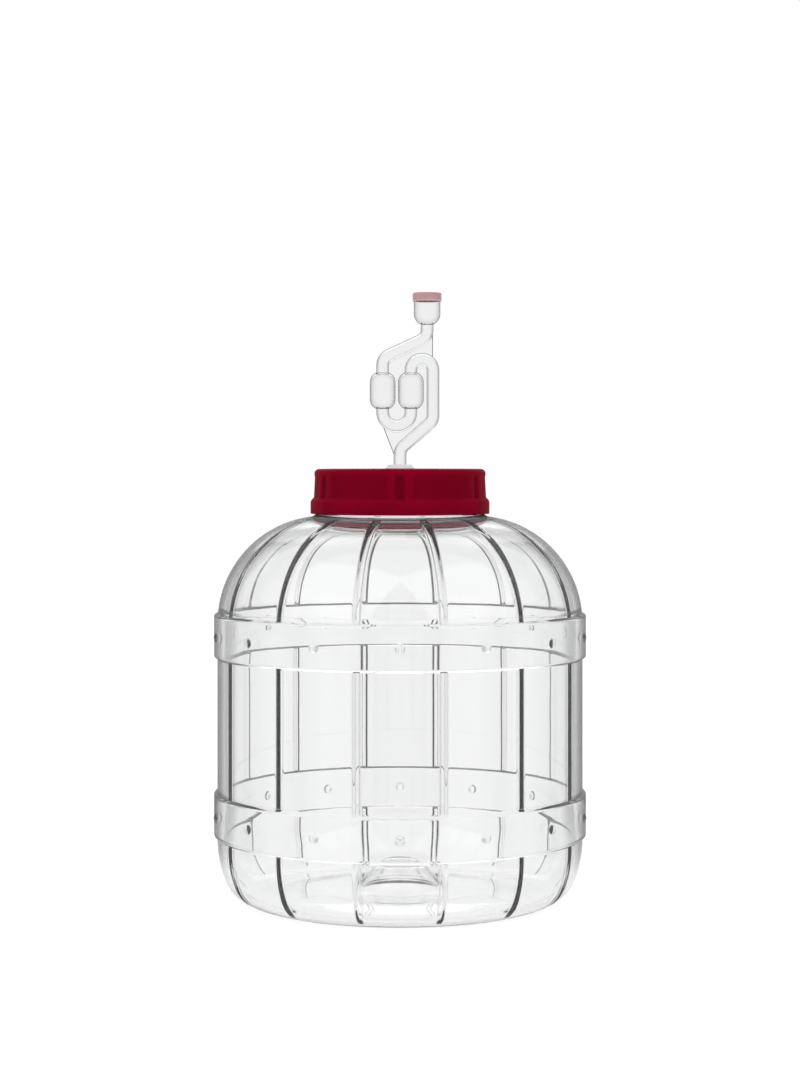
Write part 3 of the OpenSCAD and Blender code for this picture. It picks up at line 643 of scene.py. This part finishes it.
def facePiece(piece):  # all faces turned outwards, once the doubles are merged
    pickPiece(piece)
    bpy.ops.object.mode_set(mode="EDIT")
    bpy.ops.mesh.select_all(action="SELECT")
    bpy.ops.mesh.remove_doubles(threshold=1e-6)
    bpy.ops.mesh.normals_make_consistent(inside=False)
    bpy.ops.object.mode_set(mode="OBJECT")


def finishPiece(piece, smooth, looks, nodes, body):
    for look in looks:
        piece.data.materials.append(look)
    pickPiece(piece)
    bpy.ops.object.shade_smooth_by_angle(angle=math.radians(smooth))
    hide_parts(*nodes)
    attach(piece, body)
    print(piece.name, len(piece.data.polygons))


# Lid: heights are measured from its lower edge
lid = {
    "z": 262.5, "high": 30.3, "top": 2.5, "hole": 6.95, "holeEdge": 0.5,
    "sideR": 59.0, "skirtR": 60.8, "draft": 0.8, "edge": 3.2, "wall": 1.7, "skirtHigh": 8.2, "flareHigh": 3.0,
    "grips": 6, "gripWide": 17.6, "notchWide": 5.8, "notchDeep": 1.0, "panelDeep": 0.5, "panelTop": 25.7,
    "soft": 3.2,              # width over which a recess reaches its depth
    "lugR": 54.9, "lugZ": 11.83, "lugHigh": 1.8, "lugSpan": 16, "lugLead": 38,
}
lidColumns = [0, 1.0, 1.9, 2.3, 2.7, 3.1, 3.5, 4.0, 5.0, 6.5, 7.8, 8.3, 8.7, 9.1, 9.6, 10.5, 13, 16, 19,
              21.3, 22.3, 22.9, 23.5, 25, 28, math.radians(180 / lid["grips"]) * lid["sideR"]]


def lidRows():
    high, top = lid["high"], lid["high"] - lid["top"]
    side, skirt, flare = lid["sideR"], lid["skirtR"], lid["skirtHigh"] + lid["flareHigh"]
    upper = side - lid["draft"]
    rows = arc(lid["hole"] + lid["holeEdge"], high - lid["holeEdge"], lid["holeEdge"], 180, 90, 4)
    rows += [(r, high) for r in (10, 16, 26, 38, 48, 53)]
    rows += arc(upper - lid["edge"], high - lid["edge"], lid["edge"], 90, 0, 10)
    heights = [26.7, 26.4, 26.1, 25.8, 25.5, 25.2, 24.9, 24.4, 23, 20, 17, 14.5, 13.2, 12.6, 12.2, 11.8, 11.5]
    rows += [(side + (upper - side) * (z - flare) / (high - lid["edge"] - flare), z) for z in heights]
    rows += [(side + 0.03, flare), (side + 0.2, flare - 0.35), (side + 0.45, flare - 0.75), (side + 0.9, flare - 1.5),
             (skirt - 0.45, flare - 2.25), (skirt - 0.15, flare - 2.8), (skirt, flare - 3.4), (skirt, 6), (skirt, 3)]
    rows += arc(skirt - 0.4, 0.4, 0.4, 0, -90, 4)
    inner = skirt - lid["wall"]
    rows += arc(inner + 0.4, 0.4, 0.4, -90, -180, 4)
    rows += [(inner, 4), (inner, lid["skirtHigh"] - 0.2)]
    reach = inner - side + lid["wall"]
    rows += [(inner - reach * share, lid["skirtHigh"] + lid["flareHigh"] * share) for share in (0.15, 0.3, 0.44, 0.58, 0.72, 0.86)]
    rows += [(side - lid["wall"], z) for z in np.arange(flare, 14.6, 0.35)]
    rows += [(upper - lid["wall"], top - 1.0)]
    rows += arc(upper - lid["wall"] - 0.8, top - 0.8, 0.8, 0, 90, 4)
    rows += [(r, top) for r in (50, 40, 25, 14)]
    return rows + arc(lid["hole"] + lid["holeEdge"], top + lid["holeEdge"], lid["holeEdge"], 270, 180, 4)


def shapeLid(piece, rows):
    outline = np.array(rows)
    repeat, side, offset = columnOffsets(placesOf(piece), lid["grips"], lidColumns)
    row = rowsOf(piece)
    r, z = outline[row, 0], outline[row, 1]
    lower = min(index for index, place in enumerate(rows) if place[1] < 1)
    outside = (row < lower) & (r > lid["sideR"] - lid["draft"] - 0.5)
    half = lid["soft"] / 2
    flare = lid["skirtHigh"] + lid["flareHigh"]
    grip, notch = lid["gripWide"] / 2, lid["notchWide"] / 2
    level = 1 - smoothStep(z, lid["panelTop"] - half, lid["panelTop"] + half)
    level *= smoothStep(z, flare - 1.6, flare - 0.3)
    deep = lid["panelDeep"] * smoothStep(offset, grip - half, grip + half)
    deep += lid["notchDeep"] * (1 - smoothStep(offset, notch - half, notch + half))
    deep = np.where(outside, deep * level, 0)
    r = r - deep
    # painted shade: each point's depth is kept for the lid's material, which paints the recesses darker
    recess = piece.data.attributes.new("recess", "FLOAT", "POINT")
    recess.data.foreach_set("value", (deep / lid["notchDeep"]).astype(np.float32))
    # lugs inside, which rise like the thread
    away = side * (offset - lidColumns[-1])
    rise = lid["lugZ"] + away / lid["sideR"] / (2 * math.pi) * lid["lugLead"]
    share = 1 - smoothStep(np.abs(z - rise), lid["lugHigh"] / 2 - 0.2, lid["lugHigh"] / 2 + 0.2)
    reach = math.radians(lid["lugSpan"] / 2) * lid["sideR"]
    share *= 1 - smoothStep(np.abs(away), reach - 0.5, reach + 0.5)
    r = np.where((row > lower) & (z < 16), r + (lid["lugR"] - r) * share, r)
    angle = math.radians(-90) + 2 * math.pi / lid["grips"] * repeat + side * offset / lid["sideR"]
    setPlaces(piece, np.stack([r * np.cos(angle), r * np.sin(angle), z + lid["z"]], axis=1) * mm)


def makeLid(look):
    rows = lidRows()
    piece = spinOutline("lidShell", rows, lid["grips"] * 2 * (len(lidColumns) - 1), closed=True)
    shapeLid(piece, rows)
    facePiece(piece)
    finishPiece(piece, 50, [look], ["lid"], "lid")


gasket = {"z": 288.3, "thick": 1.7, "outer": 56.0, "inner": 49.0, "edge": 0.5, "groove": 0.3}


def makeGasket(look):
    low, high = gasket["z"], gasket["z"] + gasket["thick"]
    outer, inner, edge = gasket["outer"] - gasket["edge"], gasket["inner"] + gasket["edge"], gasket["edge"]
    rows = arc(outer, low + edge, edge, -90, 0, 4) + arc(outer, high - edge, edge, 0, 90, 4)
    rows += [(outer - 1, high), (outer - 1.4, high - gasket["groove"]), (outer - 2.0, high - gasket["groove"]),
             (outer - 2.4, high), (inner + 2.4, high), (inner + 2.0, high - gasket["groove"]),
             (inner + 1.4, high - gasket["groove"]), (inner + 1, high)]
    rows += arc(inner, high - edge, edge, 90, 180, 4) + arc(inner, low + edge, edge, 180, 270, 4)
    piece = spinOutline("sealRing", rows, 180, closed=True)
    facePiece(piece)
    finishPiece(piece, 40, [look], ["lid_gasket"], "seal")


# Grommet: heights are measured from its lower end
grommet = {
    "z": 281.6, "bodyR": 6.85, "bore": 4.35, "flangeR": 9.75, "topR": 7.85,
    "flangeZ": 7.2, "flangeThick": 1.3, "waistHigh": 2.7, "upperThick": 3.0, "upperEdge": 0.8,
}


def makeGrommet(look):
    body, bore, flange, low = grommet["bodyR"], grommet["bore"], grommet["flangeR"], grommet["flangeZ"]
    waist = low + grommet["flangeThick"]
    upper = waist + grommet["waistHigh"]
    top = upper + grommet["upperThick"]
    rows = arc(body - 0.5, 0.5, 0.5, -90, 0, 4)
    rows += [(body, 1.6), (body - 0.02, 4), (body, low - 0.5), (body + 0.08, low - 0.12), (body + 0.4, low + 0.06)]
    rows += [(flange - 1.2, low + 0.42)] + arc(flange - 0.3, low + 0.95, 0.3, -80, 80, 6) + [(flange - 1.2, waist - 0.02)]
    rows += [(body + 0.4, waist), (body + 0.1, waist + 0.1), (body, waist + 0.4), (body, upper - 0.4), (body + 0.1, upper - 0.1)]
    rows += [(body + 0.4, upper), (flange - 1.0, upper)] + arc(flange - 0.4, upper + 0.42, 0.4, -80, 50, 6)
    rows += [(flange - 0.8, upper + 1.25), (grommet["topR"] + 0.5, top - 0.35)]
    rows += arc(grommet["topR"] - 0.5, top - 0.7, 0.7, 50, 90, 3) + [(6.4, top), (5.4, top)]
    rows += arc(bore + 0.5, top - 0.5, 0.5, 90, 180, 4) + [(bore, 8)] + arc(bore + 0.5, 0.5, 0.5, 180, 270, 4)
    piece = spinOutline("grommetRing", [(r, z + grommet["z"]) for r, z in rows], 96, closed=True)
    facePiece(piece)
    finishPiece(piece, 60, [look], ["grommet"], "grommet")


# Cap: heights are measured from its lower edge
cap = {"x": 18.4, "z": 406.6, "high": 6.0, "outer": 9.85, "wall": 0.75, "top": 1.2, "vents": 4, "ventR": 0.5, "ventAt": 4.5}


def makeCap(look):
    outer, inner, high, under = cap["outer"], cap["outer"] - cap["wall"], cap["high"], cap["high"] - cap["top"]
    rows = arc(outer - 0.3, 0.3, 0.3, -90, 0, 3) + [(outer, 1.2), (outer - 0.05, 2.6), (outer, 4.2)]
    rows += arc(outer - 0.9, high - 0.95, 0.9, 0, 82, 8)
    rows += [(r, high - 0.05 * (r / 9) ** 2) for r in (8, 6.5, 5, 3.4, 1.8, 0)]
    rows += [(r, under) for r in (0, 3, 6)] + arc(inner - 0.5, under - 0.5, 0.5, 90, 0, 4)
    rows += [(inner, 2.4)] + arc(inner + 0.25, 0.25, 0.25, 180, 270, 3)
    piece = spinOutline("ventedCap", rows, 96, closed=True)
    facePiece(piece)
    for vent in range(cap["vents"]):
        turned = math.radians((vent + 0.5) * 360 / cap["vents"])
        bpy.ops.object.select_all(action="DESELECT")
        bpy.ops.mesh.primitive_cylinder_add(vertices=24, radius=cap["ventR"] * mm, depth=cap["high"] * mm, location=(
            cap["ventAt"] * math.cos(turned) * mm, cap["ventAt"] * math.sin(turned) * mm, cap["high"] * mm))
        cutter = bpy.context.object
        cutPiece(piece, cutter)
    setPlaces(piece, placesOf(piece) + np.array([cap["x"], 0, cap["z"]]) * mm)
    finishPiece(piece, 40, [look], ["airlock_cap"], "airlock_cap")


def cutPiece(piece, cutter, operation="DIFFERENCE"):
    pickPiece(piece)
    change = piece.modifiers.new("cut", "BOOLEAN")
    change.operation, change.solver, change.object = operation, "EXACT", cutter
    bpy.ops.object.modifier_apply(modifier=change.name)
    bpy.data.objects.remove(cutter, do_unlink=True)


# Airlock: heights are measured from the tip of its stem
airlock = {
    "z": 277.6, "tubeR": 4.3, "wall": 1.1, "tipR": 3.65, "tipHigh": 6.3,
    "bulbR": 8.7, "bulbZ": 55.5, "bulbHigh": 25.7, "bulbEdge": 7.0, "bulbX": (7.4, -11.8),
    "cupX": 18.4, "cupZ": 112.7, "cupHigh": 20.7, "cupR": 9.0, "cupEdge": 8.0,
    "webThick": 1.3, "webEdge": 0.5, "seam": 0.5,
}
# slot of the weld seam's material, which is painted dark grey as outline shade
seamShadeSlot = 2
# Corners of the tube's route: place across, height, and the radius of the bend
tubeRoute = [(0, 28.4, 7.6), (22.4, 48.1, 7.6), (22.4, 89.8, 7.5), (7.4, 89.8, 7.5), (7.4, 44.3, 9.6), (-11.8, 44.3, 9.6),
             (-11.8, 90.5, 7.6), (18.4, 104.5, 7.6)]
webCorners = [(0, 14), (-12.72, 46.88), (-11.8, 55.5), (-11.8, 90.5), (18.4, 104.5), (18.4, 112.7), (22.4, 112.7),
              (22.4, 82.3), (22.4, 48.1), (0, 28.4)]


# The tube is drawn as by hand: a circle at the tip, extruded along each straight run and spun round each bend
def runTube(name, inset, beyond):
    bpy.ops.object.select_all(action="DESELECT")
    tipR, tubeR = airlock["tipR"] - inset, airlock["tubeR"] - inset
    bpy.ops.mesh.primitive_circle_add(vertices=40, radius=tipR * mm, fill_type="NGON", location=(0, 0, -beyond * mm))
    piece = bpy.context.object
    piece.name = name
    bpy.ops.object.transform_apply(location=True)
    bpy.ops.object.mode_set(mode="EDIT")
    bpy.ops.mesh.select_all(action="SELECT")

    def extrude(across, up):
        bpy.ops.mesh.extrude_region_move(TRANSFORM_OT_translate={"value": (across * mm, 0, up * mm)})

    extrude(0, airlock["tipHigh"] + beyond - 0.3)
    extrude(0, 0.3)
    bpy.ops.transform.resize(value=(tubeR / tipR, tubeR / tipR, 1), center_override=(0, 0, airlock["tipHigh"] * mm))
    here, ends = np.array([0, airlock["tipHigh"]]), tubeRoute + [(airlock["cupX"], airlock["cupZ"] + 2.0, 0)]
    for (x, z, radius), (nextX, nextZ, _) in zip(ends[:-1], ends[1:]):
        corner, after = np.array([x, z]), np.array([nextX, nextZ])
        into, out = corner - here, after - corner
        into, out = into / np.hypot(*into), out / np.hypot(*out)
        bend = math.atan2(into[0] * out[1] - into[1] * out[0], into @ out)
        back = radius * math.tan(abs(bend) / 2)
        start = corner - into * back
        if np.hypot(*(start - here)) > 0.01:
            extrude(*(start - here))
        centre = start + np.array([-into[1], into[0]]) * math.copysign(radius, bend)
        bpy.ops.mesh.spin(steps=max(6, round(math.degrees(abs(bend)) / 7)), angle=bend,
                          center=(centre[0] * mm, 0, centre[1] * mm), axis=(0, 1, 0))
        here = corner + out * back
    extrude(*(after - here))
    bpy.ops.object.mode_set(mode="OBJECT")
    facePiece(piece)
    return piece


def roundedForm(name, x, z, radius, high, edge, openTop):
    rows = [(0, 0)] + arc(radius - edge, edge, edge, -90, 0, 10)
    if openTop:
        rows += [(radius, high), (0, high)]
    else:
        rows += arc(radius - edge, high - edge, edge, 0, 90, 10) + [(0, high)]
    piece = spinOutline(name, rows, 72)
    facePiece(piece)
    setPlaces(piece, placesOf(piece) + np.array([x, 0, z]) * mm)
    return piece


def airlockForm(name, inset, beyond):
    piece = runTube(name, inset, beyond)
    parts = [roundedForm("bulb", x, airlock["bulbZ"] + inset, airlock["bulbR"] - inset, airlock["bulbHigh"] - 2 * inset,
                         airlock["bulbEdge"] - inset, False) for x in airlock["bulbX"]]
    parts.append(roundedForm("cup", airlock["cupX"], airlock["cupZ"] + inset, airlock["cupR"] - inset,
                             airlock["cupHigh"] - inset + beyond, airlock["cupEdge"] - inset, True))
    for part in parts:
        cutPiece(piece, part, "UNION")
    return piece


def makeWeb(looks):
    bpy.ops.object.select_all(action="DESELECT")
    bpy.ops.mesh.primitive_circle_add(vertices=len(webCorners), radius=1, fill_type="NGON")
    web = bpy.context.object
    thick = airlock["webThick"]
    setPlaces(web, np.array([(x, -thick / 2, z) for x, z in webCorners]) * mm)
    bpy.ops.object.mode_set(mode="EDIT")
    bpy.ops.mesh.select_all(action="SELECT")
    bpy.ops.mesh.extrude_region_move(TRANSFORM_OT_translate={"value": (0, thick * mm, 0)})
    bpy.ops.object.mode_set(mode="OBJECT")
    facePiece(web)
    for look in looks:
        web.data.materials.append(look)
    for face in web.data.polygons:
        face.select = abs(face.normal.y) > 0.9
    bpy.context.tool_settings.mesh_select_mode = (False, False, True)
    bpy.ops.object.mode_set(mode="EDIT")
    bpy.ops.mesh.inset(thickness=airlock["webEdge"] * mm)
    bpy.ops.object.mode_set(mode="OBJECT")
    bpy.context.tool_settings.mesh_select_mode = (True, False, False)
    for face in web.data.polygons:  # all but the two faces inside the insets are seam, painted dark grey as outline shade
        face.material_index = 0 if face.select else seamShadeSlot
    return web


def markSeamShade(piece):  # the narrow rings of a bulb or the cup, where the tube meets it, painted dark grey as the shade of the joint's outline
    joints = [(x, airlock["bulbZ"]) for x in airlock["bulbX"]]
    joints += [(x, airlock["bulbZ"] + airlock["bulbHigh"]) for x in airlock["bulbX"]]
    joints.append((airlock["cupX"], airlock["cupZ"]))
    for face in piece.data.polygons:
        x, y, z = face.center / mm
        for jointX, jointZ in joints:
            away = math.hypot(x - jointX, y)
            if airlock["tubeR"] - 0.05 < away < airlock["tubeR"] + airlock["seam"] and abs(z - jointZ) < 1.2:
                if abs(face.normal.z) > 0.3:
                    face.material_index = seamShadeSlot


def makeAirlock(*looks):
    piece = airlockForm("airlockTube", 0, 0)
    web = makeWeb(looks)
    hollow = airlockForm("hollow", airlock["wall"], 3)
    for form in (piece, hollow):
        form.data.materials.clear()
        for look in looks:
            form.data.materials.append(look)
    for face in hollow.data.polygons:
        face.material_index = 1
    cutPiece(piece, web, "UNION")
    cutPiece(piece, hollow)
    markSeamShade(piece)
    setPlaces(piece, placesOf(piece) + np.array([0, 0, airlock["z"]]) * mm)
    facePiece(piece)
    finishPiece(piece, 35, [], ["airlock_front_half", "airlock_rear_half"], "airlock")


makeCamera()
makeWorld()
makeFloor()
makeLamps()
makeJar(clearGlass())
makeLid(crimsonPlastic())
makeGasket(sealRubber())
makeGrommet(paleSilicone())
makeAirlock(clearPlastic(), boreSurface(), seamAndOutlineShade())
makeCap(pinkPlastic())
